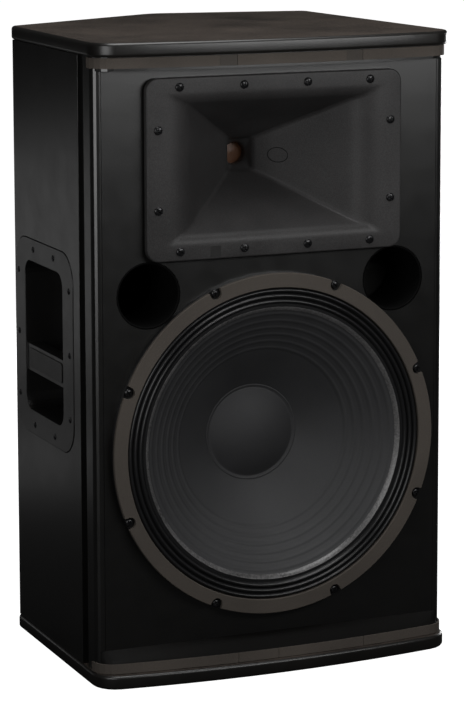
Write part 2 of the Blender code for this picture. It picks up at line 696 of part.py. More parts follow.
def spider_profile(waves=4, count=13):
    """A thin sheet with round corrugations, from the basket to the voice coil."""
    sheet = []
    for i in range(count):
        t = i / (count - 1)
        sheet.append((SPIDER_OUTER + (SPIDER_INNER - SPIDER_OUTER) * t,
                      SPIDER_LEVEL + 0.0012 * sin(2 * pi * waves * t)))
    half = 0.0003
    return [(r, z - half) for r, z in sheet] + [(r, z + half) for r, z in sheet[::-1]]


def make_motor():
    turned("motor_top_plate", ring_profile(0.0402, 0.0850, -0.1080, -0.1160), WOOFER_Z,
           "steel", steps=32)
    turned("motor_magnet", ring_profile(0.0460, 0.0950, -0.1163, -0.1383), WOOFER_Z,
           "ferrite", steps=32)
    yoke = [(0.0358, -0.1083), (0.0358, -0.1386), (0.0880, -0.1386), (0.0880, -0.1466),
            (0.0120, -0.1466), (0.0100, -0.1083)]
    turned("motor_yoke", yoke, WOOFER_Z, "steel", steps=32)


# ---- ports, handles, input plate, pole socket --------------------------------------------
def make_ports():
    for name, side in (("left_port_tube", -1), ("right_port_tube", 1)):
        turned(name, ring_profile(PORT_RADIUS, PORT_RADIUS + PORT_WALL, -GAP, -PORT_LENGTH),
               PORT_Z, "plastic", x=side * PORT_X, steps=32)


def handle_face(side):
    """A frame on the side wall: +X along the depth, +Y up, +Z out of the wall."""
    right, _, _, left = walls(PANEL_INSET)
    a, b = left if side < 0 else right
    near, far = (b, a) if side < 0 else (a, b)
    along = Vector((far.x - near.x, far.y - near.y, 0)).normalized()
    up = Vector((0, 0, 1))
    out = along.cross(up) * (1 if side > 0 else -1)
    start = near - (far - near) * near.y / (far.y - near.y)
    frame = Matrix((along, up, out)).transposed().to_4x4()
    frame.translation = (start.x, BAFFLE_Y, 0)
    return frame


def handle_opening(margin, corner):
    return rounded_rectangle((HOLE_DEPTHS[0] - margin, HOLE_HEIGHTS[0] - margin),
                             (HOLE_DEPTHS[1] + margin, HOLE_HEIGHTS[1] + margin), corner, 5)


def handle_cutters(side):
    face = handle_face(side)
    plate = rounded_rectangle((HANDLE_DEPTHS[0], HANDLE_HEIGHTS[0]),
                              (HANDLE_DEPTHS[1], HANDLE_HEIGHTS[1]), HANDLE_CORNER, 6)
    cutters = [prism(f"handle_rebate_{side}", plate, -HANDLE_REBATE, 0.01, None),
               prism(f"handle_hole_{side}", handle_opening(CUP_WALL + 0.0005, 0.02),
                     -0.05, 0.01, None)]
    for cutter in cutters:
        cutter.matrix_world = face
    return cutters


def make_handles():
    """Recessed handles: a face plate and a cup in one piece, with a bar across it."""
    play = 0.0005
    low = (HANDLE_DEPTHS[0] + play, HANDLE_HEIGHTS[0] + play)
    high = (HANDLE_DEPTHS[1] - play, HANDLE_HEIGHTS[1] - play)
    plate = rounded_rectangle(low, high, HANDLE_CORNER, 6)
    grip = rounded_rectangle((HOLE_DEPTHS[0] - 0.002, GRIP_HEIGHTS[0]),
                             (HOLE_DEPTHS[1] + 0.002, GRIP_HEIGHTS[1]), 0.0015, 2)
    badge = rounded_rectangle((HOLE_DEPTHS[0] + 0.008, GRIP_HEIGHTS[0] + 0.004),
                              (HOLE_DEPTHS[1] - 0.008, GRIP_HEIGHTS[1] - 0.004), 0.004, 3)
    for name, side in (("left", -1), ("right", 1)):
        handle = prism(f"{name}_handle", plate, play - HANDLE_REBATE, 0.0008, "plastic")
        outside = prism(f"{name}_cup_outside", handle_opening(CUP_WALL, 0.02), -CUP_DEPTH,
                        -0.001, None)
        inside = prism(f"{name}_cup_inside", handle_opening(0, HOLE_CORNER),
                       CUP_WALL - CUP_DEPTH, 0.01, None)
        bar = prism(f"{name}_grip_bar", grip, -0.018, -0.0015, None)
        plaque = prism(f"{name}_handle_badge", badge, -0.0012, -0.0004, "plastic")
        for piece in (handle, outside, inside, bar, plaque):
            piece.matrix_world = handle_face(side)
        cut(handle, outside, "UNION")
        cut(handle, inside)
        cut(handle, bar, "UNION")


def rear_face():
    """A frame at the middle of the rear wall: +X along it, +Y up, +Z out."""
    _, end, right = back_corners(PANEL_INSET)
    middle = (end + right) / 2
    along = Vector((end.x - right.x, end.y - right.y, 0)).normalized()
    up = Vector((0, 0, 1))
    frame = Matrix((along, up, along.cross(up))).transposed().to_4x4()
    frame.translation = (middle.x, middle.y + BAFFLE_Y, 0.20)
    return frame


def input_cutout():
    cutter = prism("input_cutout", rounded_rectangle((-0.05, -0.04), (0.05, 0.04), 0.006, 3),
                   -0.05, 0.01, None)
    cutter.matrix_world = rear_face()
    return cutter


def make_input_plate():
    face = rear_face()
    plate = prism("input_plate", rounded_rectangle((-0.062, -0.052), (0.062, 0.052), 0.006, 4),
                  GAP, 0.0022, "black_steel")
    plate.matrix_world = face
    for i, x in enumerate((-0.026, 0.026)):
        hole = prism(f"socket_hole_{i}", circle((x, 0), 0.0125, 24), -0.01, 0.01, None)
        hole.matrix_world = face
        cut(plate, hole)
        body = prism(f"input_socket_{i + 1}", circle((x, 0), 0.0121, 24), -0.026, 0.0022,
                     "plastic")
        mouth = prism(f"socket_mouth_{i}", circle((x, 0), 0.0085, 24), -0.018, 0.02, None)
        for tool in (body, mouth):
            tool.matrix_world = face
        cut(body, mouth)


def make_pole_socket():
    """A stepped tube with a closed end and a flange let into the bottom cap."""
    outer = POLE_RADIUS + POLE_WALL
    top, face = POLE_REBATE - 0.0004, 0.0006
    profile = [(0.0, POLE_DEPTH + 0.003), (outer, POLE_DEPTH + 0.003), (outer, top),
               (POLE_FLANGE_RADIUS, top), (POLE_FLANGE_RADIUS, face), (POLE_RADIUS, face),
               (POLE_RADIUS, POLE_DEPTH), (0.0, POLE_DEPTH)]
    socket = turned("pole_socket", profile, 0.0, "plastic", steps=SMALL_ROUND, closed=False)
    socket.location = (0, POLE_Y, 0)
    socket.rotation_euler = (0, 0, 0)


# ---- inside ------------------------------------------------------------------------------
def make_crossover():
    """Crossover board on four feet, with a coil and a capacitor."""
    floor = CAP_THICKNESS + 0.009
    board_top = floor + 0.0016
    board = box("crossover_board", (-0.125, 0.025, floor), (-0.030, 0.095, board_top), "board")
    for i, x in enumerate((-0.118, -0.037)):
        for j, y in enumerate((0.032, 0.088)):
            foot = prism(f"board_foot_{i}{j}", circle((x, y), 0.003, 8), CAP_THICKNESS + GAP,
                         floor + 0.0008, None)
            cut(board, foot, "UNION")
    seat = board_top + GAP
    coil = turned("crossover_inductor", ring_profile(0.008, 0.022, seat + 0.020, seat), 0.0,
                  "copper", steps=SMALL_ROUND)
    coil.location = (-0.098, 0.060, 0)
    coil.rotation_euler = (0, 0, 0)
    prism("crossover_capacitor", circle((0.062, seat + 0.0105), 0.0100, 16), -0.070, -0.034,
          "plastic", axis="X")


def lead(name, points, radius=0.0016):
    """An insulated lead along a smooth run of points, as a capped tube."""
    curve = bpy.data.curves.new(name, "CURVE")
    curve.dimensions = "3D"
    curve.bevel_depth = radius
    curve.bevel_resolution = 2
    curve.use_fill_caps = True
    spline = curve.splines.new("POLY")
    spline.points.add(len(points) - 1)
    for point, place in zip(spline.points, points):
        point.co = (*place, 1)
    curve.materials.append(material("plastic"))
    PARTS.objects.link(bpy.data.objects.new(name, curve))


def smooth_run(stops, steps=5):
    """Catmull-Rom run through the stops."""
    stops = [Vector(s) for s in stops]
    padded = [stops[0] * 2 - stops[1]] + stops + [stops[-1] * 2 - stops[-2]]
    run = [stops[0]]
    for a, b, c, d in zip(padded, padded[1:], padded[2:], padded[3:]):
        for i in range(1, steps + 1):
            t = i / steps
            run.append(0.5 * (2 * b + (c - a) * t + (2 * a - 5 * b + 4 * c - d) * t * t
                              + (3 * b - a - 3 * c + d) * t ** 3))
    return run


def make_leads():
    board_top = CAP_THICKNESS + 0.0130
    lead("woofer_lead", smooth_run([(-0.060, 0.040, board_top), (-0.062, 0.038, 0.05),
                                    (-0.115, 0.020, 0.10), (-0.118, -0.030, 0.16),
                                    (-0.108, -0.060, 0.19)]))
    lead("horn_driver_lead", smooth_run([(-0.040, 0.075, board_top), (-0.038, 0.078, 0.06),
                                         (0.020, 0.070, 0.30), (0.030, 0.060, 0.44),
                                         (0.060, 0.040, 0.50), (0.056, -0.010, 0.555)]))


def make_wadding():
    """Damping pad against the inside of the wedge wall."""
    _, _, (a, b), _ = walls(PANEL_INSET + PLY + 0.001)
    along = (b - a).normalized()
    inward = Vector((-along.y, along.x)) * 0.020
    first, last = a + along * 0.045, b - along * 0.050
    pad = prism("damping_pad", placed([first, last, last + inward, first + inward]),
                0.49, 0.68, "wadding")
    round_edges(pad, 0.006, 2)


def main():
    make_caps()
    make_box()
    make_baffle()
    make_ledges()
    make_strips()
    make_brace()
    make_horn()
    make_driver()
    make_woofer_frame()
    make_gasket()
    make_woofer_screws()
    make_moving_parts()
    make_motor()
    make_ports()
    make_handles()
    make_input_plate()
    make_pole_socket()
    make_crossover()
    make_leads()
    make_wadding()


main()
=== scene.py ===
"""Looks of the PA speaker cabinet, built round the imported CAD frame."""

from math import acos, atan2, cos, pi, radians, sin, sqrt

import bmesh
import bpy
from mathutils import Matrix, Vector


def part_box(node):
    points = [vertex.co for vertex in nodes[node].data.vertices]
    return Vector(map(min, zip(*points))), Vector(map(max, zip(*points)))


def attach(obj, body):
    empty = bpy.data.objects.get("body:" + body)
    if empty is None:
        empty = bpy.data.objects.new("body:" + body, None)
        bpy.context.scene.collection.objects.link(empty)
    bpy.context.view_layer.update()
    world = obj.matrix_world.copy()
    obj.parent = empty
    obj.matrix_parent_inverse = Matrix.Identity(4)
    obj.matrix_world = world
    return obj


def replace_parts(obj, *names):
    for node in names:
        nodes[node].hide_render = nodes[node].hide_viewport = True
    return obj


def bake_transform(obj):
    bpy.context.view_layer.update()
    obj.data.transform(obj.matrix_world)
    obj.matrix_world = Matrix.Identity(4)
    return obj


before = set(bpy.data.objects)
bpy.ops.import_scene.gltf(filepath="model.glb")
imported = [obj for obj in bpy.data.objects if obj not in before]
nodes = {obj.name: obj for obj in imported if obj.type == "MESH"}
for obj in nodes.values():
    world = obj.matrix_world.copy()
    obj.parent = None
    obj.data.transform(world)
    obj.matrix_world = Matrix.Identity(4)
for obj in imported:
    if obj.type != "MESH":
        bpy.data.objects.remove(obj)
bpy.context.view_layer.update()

# ---- places read from the frame ---------------------------------------------------------
BAFFLE_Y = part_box("baffle")[0].y


def middle(node):
    low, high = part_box(node)
    return (low + high) / 2


WOOFER = Vector((0, BAFFLE_Y, middle("woofer_gasket").z))
HORN = Vector((0, BAFFLE_Y, middle("horn").z))
HORN_LOW, HORN_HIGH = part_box("horn")
HORN_HALF = ((HORN_HIGH.x - HORN_LOW.x) / 2, (HORN_HIGH.z - HORN_LOW.z) / 2)
HORN_FRONT = BAFFLE_Y - HORN_LOW.y
GASKET_LOW, GASKET_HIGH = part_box("woofer_gasket")
FRAME_RADIUS = (GASKET_HIGH.x - GASKET_LOW.x) / 2
GASKET_FRONT = BAFFLE_Y - GASKET_LOW.y
GASKET_BACK = BAFFLE_Y - GASKET_HIGH.y

# ---- sizes, in metres -------------------------------------------------------------------
CAP_ROUNDING = 0.0038
POLE_HOLE_REACH = 0.1           # rim points nearer the middle belong to the pole's hole
POLE_TUBE_RADIUS = 0.0213       # outside of the pole socket's tube
POLE_REBATE = 0.0040            # how deep the socket's flange is let in
POLE_PLAY = 0.0006
WOOFER_SCREW_CIRCLE = 0.1897
WOOFER_SCREW_COUNT = 8


# ---- mesh helpers -----------------------------------------------------------------------
def add_piece(name, bm, finish, smooth=35, body="cabinet", place=None):
    """Make a piece from a bmesh, in place, riding on a body."""
    mesh = bpy.data.meshes.new(name)
    bm.to_mesh(mesh)
    bm.free()
    mesh.materials.append(finish)
    mesh.shade_smooth()
    mesh.set_sharp_from_angle(angle=radians(smooth))
    piece = bpy.data.objects.new(name, mesh)
    bpy.context.scene.collection.objects.link(piece)
    if place is not None:
        piece.matrix_world = place
    if body:
        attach(piece, body)
    return piece


def facing_out(x, z, forward=0.0):
    """A frame whose +Z looks out of the baffle, +X to the right, +Y up."""
    return Matrix.Translation((x, BAFFLE_Y - forward, z)) @ Matrix.Rotation(pi / 2, 4, "X")


def turned_mesh(profile, segments, closed=False):
    """Turn (radius, height) points about Z; radius 0 ends become a single point."""
    bm = bmesh.new()
    rings = []
    for radius, height in profile:
        if radius < 1e-7:
            rings.append([bm.verts.new((0, 0, height))])
            continue
        rings.append([bm.verts.new((radius * cos(2 * pi * i / segments),
                                    radius * sin(2 * pi * i / segments), height))
                      for i in range(segments)])
    pairs = list(zip(rings, rings[1:]))
    if closed:
        pairs.append((rings[-1], rings[0]))
    for a, b in pairs:
        for i in range(segments):
            j = (i + 1) % segments
            corners = [a[i % len(a)], a[j % len(a)], b[j % len(b)], b[i % len(b)]]
            unique = list(dict.fromkeys(corners))
            if len(unique) > 2:
                bm.faces.new(unique)
    bm.normal_update()
    bmesh.ops.recalc_face_normals(bm, faces=bm.faces)
    return bm


def loft_mesh(sections, closed=True):
    """Join rings of the same number of points, and if closed the last to the first."""
    bm = bmesh.new()
    rings = [[bm.verts.new(p) for p in section] for section in sections]
    pairs = list(zip(rings, rings[1:]))
    if closed:
        pairs.append((rings[-1], rings[0]))
    for a, b in pairs:
        for i in range(len(a)):
            j = (i + 1) % len(a)
            bm.faces.new((a[i], a[j], b[j], b[i]))
    bm.normal_update()
    bmesh.ops.recalc_face_normals(bm, faces=bm.faces)
    return bm


def close_ends(bm, count):
    """Close an open loft with faces on its first and last ring."""
    bm.verts.ensure_lookup_table()
    bm.faces.new(bm.verts[:count])
    bm.faces.new(bm.verts[-count:])
    bm.normal_update()
    bmesh.ops.recalc_face_normals(bm, faces=bm.faces)


def prism_mesh(outline, low, high):
    """Extrude a closed outline along Z."""
    bm = bmesh.new()
    face = bm.faces.new([bm.verts.new((a, b, low)) for a, b in outline])
    raised = bmesh.ops.extrude_face_region(bm, geom=[face])["geom"]
    lifted = [v for v in raised if isinstance(v, bmesh.types.BMVert)]
    bmesh.ops.translate(bm, verts=lifted, vec=(0, 0, high - low))
    bm.normal_update()
    bmesh.ops.recalc_face_normals(bm, faces=bm.faces)
    return bm


def arc(centre, radius, start, end, steps):
    """Points along an arc, angles in degrees counted from +X."""
    points = []
    for i in range(steps + 1):
        angle = radians(start + (end - start) * i / steps)
        points.append((centre[0] + radius * cos(angle), centre[1] + radius * sin(angle)))
    return points


def rounded_rectangle(low, high, radius, steps):
    corners = ((high[0] - radius, high[1] - radius, 0), (low[0] + radius, high[1] - radius, 90),
               (low[0] + radius, low[1] + radius, 180), (high[0] - radius, low[1] + radius, 270))
    points = []
    for x, y, start in corners:
        points += arc((x, y), radius, start, start + 90, steps)
    return points


def bevel(piece, width, segments, angle=35):
    """Round the edges that are sharper than an angle in degrees."""
    made = piece.modifiers.new("rounded", "BEVEL")
    made.width = width
    made.segments = segments
    made.limit_method = "ANGLE"
    made.angle_limit = radians(angle)
    made.harden_normals = True


def cutter(name, bm, place=None):
    """A hidden solid that a Boolean takes away."""
    piece = add_piece(name, bm, None, body=None, place=place)
    piece.hide_render = True
    piece.hide_viewport = True
    return piece


def apply_cuts(piece, tools):
    """Cut tools out of a piece with exact Booleans, and drop the tools."""
    for tool in tools:
        made = piece.modifiers.new("cut", "BOOLEAN")
        made.operation = "DIFFERENCE"
        made.solver = "EXACT"
        made.object = tool
        tool.hide_viewport = False
    bpy.context.view_layer.update()
    graph = bpy.context.evaluated_depsgraph_get()
    mesh = bpy.data.meshes.new_from_object(piece.evaluated_get(graph))
    piece.modifiers.clear()
    piece.data = mesh
    for tool in tools:
        bpy.data.objects.remove(tool, do_unlink=True)
    mesh.shade_smooth()
    mesh.set_sharp_from_angle(angle=radians(35))


# ---- materials --------------------------------------------------------------------------
class Finish:
    """A Principled material with a small procedural texture network."""

    def __init__(self, name, roughness, metallic=0.0, specular=0.5, sheen=0.0):
        self.material = bpy.data.materials.new(name)
        self.material.use_nodes = True
        self.tree = self.material.node_tree
        self.shader = self.tree.nodes["Principled BSDF"]
        self.shader.inputs["Roughness"].default_value = roughness
        self.shader.inputs["Metallic"].default_value = metallic
        self.shader.inputs["Specular IOR Level"].default_value = specular
        self.shader.inputs["Sheen Weight"].default_value = sheen
        self.where = self.node("ShaderNodeTexCoord").outputs["Object"]

    def node(self, kind, **settings):
        """Add a node, with its settings."""
        made = self.tree.nodes.new(kind)
        for key, value in settings.items():
            setattr(made, key, value)
        return made

    def link(self, source, target):
        self.tree.links.new(source, target)

    def noise(self, scale, detail, roughness=0.5):
        made = self.node("ShaderNodeTexNoise")
        made.inputs["Scale"].default_value = scale
        made.inputs["Detail"].default_value = detail
        made.inputs["Roughness"].default_value = roughness
        self.link(self.where, made.inputs["Vector"])
        return made.outputs["Fac"]

    def ramp(self, source, low, high):
        """Colour a value from one (position, colour) stop to another."""
        made = self.node("ShaderNodeValToRGB")
        for element, (position, colour) in zip(made.color_ramp.elements, (low, high)):
            element.position = position
            element.color = (*colour, 1)
        self.link(source, made.inputs["Fac"])
        return made.outputs["Color"]

    def average(self, a, b):
        """The colour half way between two colours."""
        made = self.node("ShaderNodeMix", data_type="RGBA")
        made.inputs["Factor"].default_value = 0.5
        for value, name in ((a, "A"), (b, "B")):
            socket = next(s for s in made.inputs if s.name == name and s.type == "RGBA")
            self.link(value, socket)
        return next(s for s in made.outputs if s.type == "RGBA")

    def colour(self, source):
        self.link(source, self.shader.inputs["Base Color"])

    def rough(self, source, low, high):
        """Vary the roughness between two values."""
        made = self.node("ShaderNodeMapRange")
        made.inputs["To Min"].default_value = low
        made.inputs["To Max"].default_value = high
        self.link(source, made.inputs["Value"])
        self.link(made.outputs["Result"], self.shader.inputs["Roughness"])

    def bump(self, source, strength, distance):
        """Add a bump on top of any that is there."""
        made = self.node("ShaderNodeBump")
        made.inputs["Strength"].default_value = strength
        made.inputs["Distance"].default_value = distance
        self.link(source, made.inputs["Height"])
        previous = self.shader.inputs["Normal"].links
        if previous:
            self.link(previous[0].from_socket, made.inputs["Normal"])
        self.link(made.outputs["Normal"], self.shader.inputs["Normal"])


DRIFT_SCALE = 9             # slow change of colour over a surface, per metre
PATCH_SCALE = 35            # patches of rougher and smoother surface
FINE_GRAIN = 3.2            # how much finer the second grain is


def shades(colour, low, high):
    """A darker and a lighter shade of a colour."""
    return tuple(c * low for c in colour), tuple(c * high for c in colour)


def textured(name, colour, roughness, grain, grain_bump, spread=(0.75, 1.25), fine=0.0,
             specular=0.5, metallic=0.0, sheen=0.0, rough_spread=0.06):
    """A surface with slow colour drift, a grain in colour and bump, and rough patches."""
    made = Finish(name, roughness, metallic, specular, sheen)
    dark, light = shades(colour, *spread)
    grains = made.noise(grain, 2.5, 0.6)
    base = made.ramp(made.noise(DRIFT_SCALE, 4, 0.55), (0.3, dark), (0.7, light))
    fleck = made.ramp(grains, (0.35, dark), (0.68, light))
    made.colour(made.average(base, fleck))
    made.rough(made.noise(PATCH_SCALE, 3, 0.6), roughness - rough_spread,
               roughness + rough_spread)
    made.bump(grains, 0.5, grain_bump)
    if fine:
        made.bump(made.noise(grain * FINE_GRAIN, 2, 0.6), 0.4, fine)
    return made


PAINT = textured("satin_box_paint", (0.0020, 0.0019, 0.0016), 0.31, 520, 0.00012,
                 specular=0.95, rough_spread=0.05)
LEDGE_PAINT = textured("ledge_paint", (0.0024, 0.0022, 0.0019), 0.58, 900, 0.00010,
                       specular=0.12)
# Flat cap faces: a speckled paint, lighter and browner than the rims; the speckle is the paint's
# own, the lighter brown tone is partly painted top light.
CAP_SPECKLE_PAINTED_TOP_LIGHT = textured("speckled_cap_paint_painted_top_light", (0.040, 0.0320, 0.0265), 0.55, 420, 0.00070,
                     spread=(0.05, 2.2), specular=0.25)
RIM_PAINT = textured("cap_rim_paint", (0.0075, 0.0068, 0.0060), 0.34, 620, 0.00010,
                     spread=(0.5, 1.5), specular=0.6)
FOAM = textured("foam_seat", (0.074, 0.062, 0.052), 0.85, 1300, 0.00022, spread=(0.65, 1.35))
GASKET = textured("woofer_gasket_foam", (0.063, 0.053, 0.044), 0.80, 1500, 0.00018,
                  spread=(0.7, 1.3))
BLACK_FOAM = textured("black_foam", (0.004, 0.004, 0.004), 0.95, 1200, 0.0002)
HORN_PLASTIC = textured("horn_plastic", (0.0315, 0.0303, 0.0304), 0.46, 760, 0.00028,
                        spread=(0.45, 1.55), specular=0.30, fine=0.00005)
PLASTIC = textured("moulded_plastic", (0.012, 0.0115, 0.0110), 0.40, 1500, 0.00008)
HANDLE_PLASTIC = textured("handle_plastic", (0.0050, 0.0048, 0.0045), 0.34, 1500, 0.00010,
                          spread=(0.6, 1.4), specular=0.8)
TUBE_PLASTIC = textured("port_tube_plastic", (0.0012, 0.0012, 0.0012), 0.85, 900, 0.00005,
                        specular=0.1)
BLACK_STEEL = textured("black_steel", (0.006, 0.006, 0.0065), 0.36, 800, 0.00006, metallic=0.2)
SCREW_STEEL = textured("black_zinc_screw", (0.014, 0.014, 0.015), 0.20, 2500, 0.00002,
                       metallic=0.4, rough_spread=0.04)
STEEL = textured("zinc_steel", (0.45, 0.45, 0.44), 0.35, 500, 0.00004, metallic=1.0)
FERRITE = textured("ferrite", (0.03, 0.03, 0.031), 0.65, 1200, 0.0001)
PAPER = textured("cone_paper", (0.0270, 0.0272, 0.0286), 0.62, 1100, 0.00016, fine=0.00010,
                 spread=(0.65, 1.35))
CAP_PAPER = textured("dust_cap_paper", (0.0250, 0.0250, 0.0266), 0.66, 1300, 0.00018,
                     spread=(0.7, 1.3))
# The grille clips get a darker copy of the foam: painted shade of the recess they sit over.
CLIP_FOAM_PAINTED_SHADE = textured("dark_foam", (0.056, 0.048, 0.041), 0.8, 1300, 0.00020)
GLUE = textured("glue_bead", (0.095, 0.093, 0.093), 0.30, 420, 0.00050, spread=(0.2, 2.0),
                rough_spread=0.15)
CLOTH = textured("surround_cloth", (0.0085, 0.0085, 0.0090), 0.32, 2200, 0.00010)
SPIDER = textured("spider_cloth", (0.28, 0.19, 0.09), 0.85, 1500, 0.0002)
TAN = textured("phase_plug_plastic", (0.105, 0.043, 0.018), 0.5, 900, 0.00008)
COPPER = textured("copper_winding", (0.55, 0.26, 0.13), 0.35, 900, 0.0001, metallic=1.0)
METAL_DOME = textured("metal_dome", (0.55, 0.55, 0.56), 0.3, 900, 0.00003, metallic=1.0)
RAW_PLY = textured("bare_plywood", (0.42, 0.29, 0.17), 0.7, 260, 0.0002)
BOARD = textured("circuit_board", (0.02, 0.11, 0.05), 0.45, 700, 0.00004)
WADDING = textured("wadding", (0.55, 0.55, 0.53), 1.0, 420, 0.001, sheen=0.4)
WIRE = textured("wire_insulation", (0.02, 0.02, 0.02), 0.5, 900, 0.00004)


# ---- CAD nodes that stay, with better surfaces --------------------------------------------
def dress(names, finish, soften=0.0):
    """Give nodes a finish, and round their edges by a width where one is given."""
    for name in names:
        piece = nodes[name]
        piece.data.materials.clear()
        piece.data.materials.append(finish.material)
        if soften:
            weld = piece.modifiers.new("weld", "WELD")
            weld.merge_threshold = 0.00001
            bevel(piece, soften, 2, 30)
            piece.modifiers.new("flat_faces", "WEIGHTED_NORMAL").keep_sharp = True


def dress_cad():
    dress(["left_side_panel", "right_side_panel", "wedge_panel", "rear_panel"], PAINT, 0.0008)
    dress(["baffle", "top_ledge"], PAINT)
    dress(["shelf_brace"], RAW_PLY)
    dress(["damping_pad"], WADDING)
    dress(["horn_gasket"], BLACK_FOAM)
    dress(["driver_body", "woofer_basket", "input_plate"], BLACK_STEEL)
    dress(["driver_phase_plug"], TAN)
    dress(["driver_diaphragm"], METAL_DOME)
    dress(["driver_rear_cover", "input_socket_1", "input_socket_2", "pole_socket",
           "crossover_capacitor"], PLASTIC)
    dress(["motor_top_plate", "motor_yoke"], STEEL)
    dress(["motor_magnet"], FERRITE)
    dress(["voice_coil", "crossover_inductor"], COPPER)
    dress(["woofer_spider"], SPIDER)
    dress(["crossover_board"], BOARD)
    dress(["woofer_lead", "horn_driver_lead"], WIRE)
    dress([name for name in nodes if "_foam_" in name], FOAM)
    # Clips in the darker foam copy, which is painted recess shade.
    dress([name for name in nodes if "_clip_" in name], CLIP_FOAM_PAINTED_SHADE)
    dress(["left_handle", "right_handle"], HANDLE_PLASTIC, 0.0005)
    dress(["left_handle_badge", "right_handle_badge"], PLASTIC, 0.0005)


# ---- caps --------------------------------------------------------------------------------
def plan_outline(node):
    """The plan of a cap, from the vertices of its upright rim, anticlockwise."""
    low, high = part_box(node)
    slack = 0.0001
    rim = {(round(v.co.x, 5), round(v.co.y, 5)) for v in nodes[node].data.vertices
           if low.z + CAP_ROUNDING - slack < v.co.z < high.z - CAP_ROUNDING + slack}
    points = [p for p in rim if sqrt(p[0] ** 2 + p[1] ** 2) > POLE_HOLE_REACH]
    return sorted(points, key=lambda p: atan2(p[1], p[0]))


def inset(points, distance):
    """Move a convex anticlockwise outline inwards."""
    moved = []
    for before, here, after in zip(points[-1:] + points, points, points[1:] + points[:1]):
        into = (Vector(here) - Vector(before)).normalized()
        out = (Vector(after) - Vector(here)).normalized()
        normal = (Vector((-into.y, into.x)) + Vector((-out.y, out.x))).normalized()
        reach = distance / max(0.5, normal.dot(Vector((-out.y, out.x))))
        moved.append(Vector(here) + normal * reach)
    return moved


def bore_for_pole(cap):
    """Take the pole socket's flange and tube out of the lower cap."""
    flange_low, flange_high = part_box("pole_socket")
    across = (flange_high.x - flange_low.x) / 2
    rebate = arc((0, 0), across + POLE_PLAY, 0, 352.5, 47)
    hole = arc((0, 0), POLE_TUBE_RADIUS + POLE_PLAY, 0, 352.5, 47)
    apply_cuts(cap, [cutter("rebate", prism_mesh(rebate, -0.01, POLE_REBATE)),
                     cutter("hole", prism_mesh(hole, -0.01, 0.05))])


def make_caps():
    """The two caps, with their edges fully rounded; the lower one is bored for the pole."""
    steps = 6
    flat_edge = CAP_ROUNDING + 0.001
    profile = [(CAP_ROUNDING * (1 - sin(pi / 2 * i / steps)),
                CAP_ROUNDING * (1 - cos(pi / 2 * i / steps))) for i in range(steps + 1)]
    for node in ("top_cap", "bottom_cap"):
        low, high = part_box(node)
        outline = plan_outline(node)
        rings = [(flat_edge, low.z)] + [(d, low.z + h) for d, h in profile]
        rings += [(d, high.z - h) for d, h in profile[::-1]] + [(flat_edge, high.z)]
        bm = loft_mesh([[(x, y, z) for x, y in inset(outline, distance)]
                        for distance, z in rings], closed=False)
        close_ends(bm, len(outline))
        piece = add_piece(node.replace("_cap", "_board"), bm, CAP_SPECKLE_PAINTED_TOP_LIGHT.material, 40,
                          "cabinet")
        if node == "bottom_cap":
            bore_for_pole(piece)
        mesh = piece.data
        # Flat faces take the lighter speckled paint and the rims the dark satin one; the lighter
        # flat faces are partly painted top light.
        mesh.materials.append(RIM_PAINT.material)
        for face in mesh.polygons:
            face.material_index = 0 if abs(face.normal.z) > 0.99 else 1
        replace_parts(piece, node)


def make_ledge():
    """The bottom ledge, whose top falls from the baffle to the foam all round the bow."""
    low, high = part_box("bottom_ledge")
    points = {(round(v.co.x, 4), round(v.co.y, 4), round(v.co.z, 4))
              for v in nodes["bottom_ledge"].data.vertices}
    sill = max(z for x, y, z in points if z < high.z - 0.002)
    front = sorted((x, y) for x, y, z in points if abs(z - sill) < 0.0003)
    edge, shallowest, splits = 0.0008, 0.0015, 4
    sections = []
    for (x0, y0), (x1, y1) in zip(front, front[1:] + front[-1:]):
        for i in range(splits if x1 > x0 else 1):
            x = x0 + (x1 - x0) * i / splits
            y = min(y0 + (y1 - y0) * i / splits, high.y - shallowest)
            slope = [(x, y + edge + (high.y - y - edge) * t, sill + (high.z - sill) * t)
                     for t in (0.0, 0.25, 0.5, 0.75, 1.0)]
            sections.append([(x, high.y, low.z), (x, y, low.z), (x, y, sill - edge),
                             (x, y + edge * 0.3, sill - edge * 0.3)] + slope)
    bm = loft_mesh(sections, closed=False)
    close_ends(bm, len(sections[0]))
    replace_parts(add_piece("sloping_ledge", bm, LEDGE_PAINT.material, 30, "cabinet"),
                "bottom_ledge")


# ---- woofer -----------------------------------------------------------------------------
ROUND = 192                 # facets of the woofer's round pieces
CONE_OUTER, CONE_INNER = 0.1560, 0.0388
CONE_FRONT, CONE_BACK = 0.0062, -0.0735
CONE_CURVE = 0.10
CONE_THICKNESS = 0.0011
RIBS = [0.1030 + 0.0086 * i for i in range(6)]
RIB_HEIGHT, RIB_HALF_WIDTH = 0.00075, 0.0030
DUST_CAP_RADIUS = 0.0512
DUST_CAP_RISE = 0.0150


def cone_height(radius):
    """The cone's face: a slightly curved wall, from its neck out to the surround."""
    t = (radius - CONE_INNER) / (CONE_OUTER - CONE_INNER)
    return CONE_BACK + (CONE_FRONT - CONE_BACK) * ((1 + CONE_CURVE) * t - CONE_CURVE * t * t)


def rib_height(radius):
    """How far the cone's round ribs raise its face."""
    away = [min(pi / 2, abs(radius - rib) / RIB_HALF_WIDTH * pi / 2) for rib in RIBS]
    return sum(RIB_HEIGHT * max(0.0, cos(angle)) ** 2 for angle in away)


def make_cone():
    steps = 220
    radii = [CONE_OUTER + (CONE_INNER - CONE_OUTER) * i / steps for i in range(steps + 1)]
    front = [(r, cone_height(r) + rib_height(r)) for r in radii]
    back = [(r, cone_height(r) - CONE_THICKNESS) for r in radii[::10][::-1]]
    piece = add_piece("ribbed_cone", turned_mesh(front + back, ROUND, closed=True),
                      PAPER.material, 60, "woofer_moving",
                      facing_out(WOOFER.x, WOOFER.z))
    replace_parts(piece, "woofer_cone")


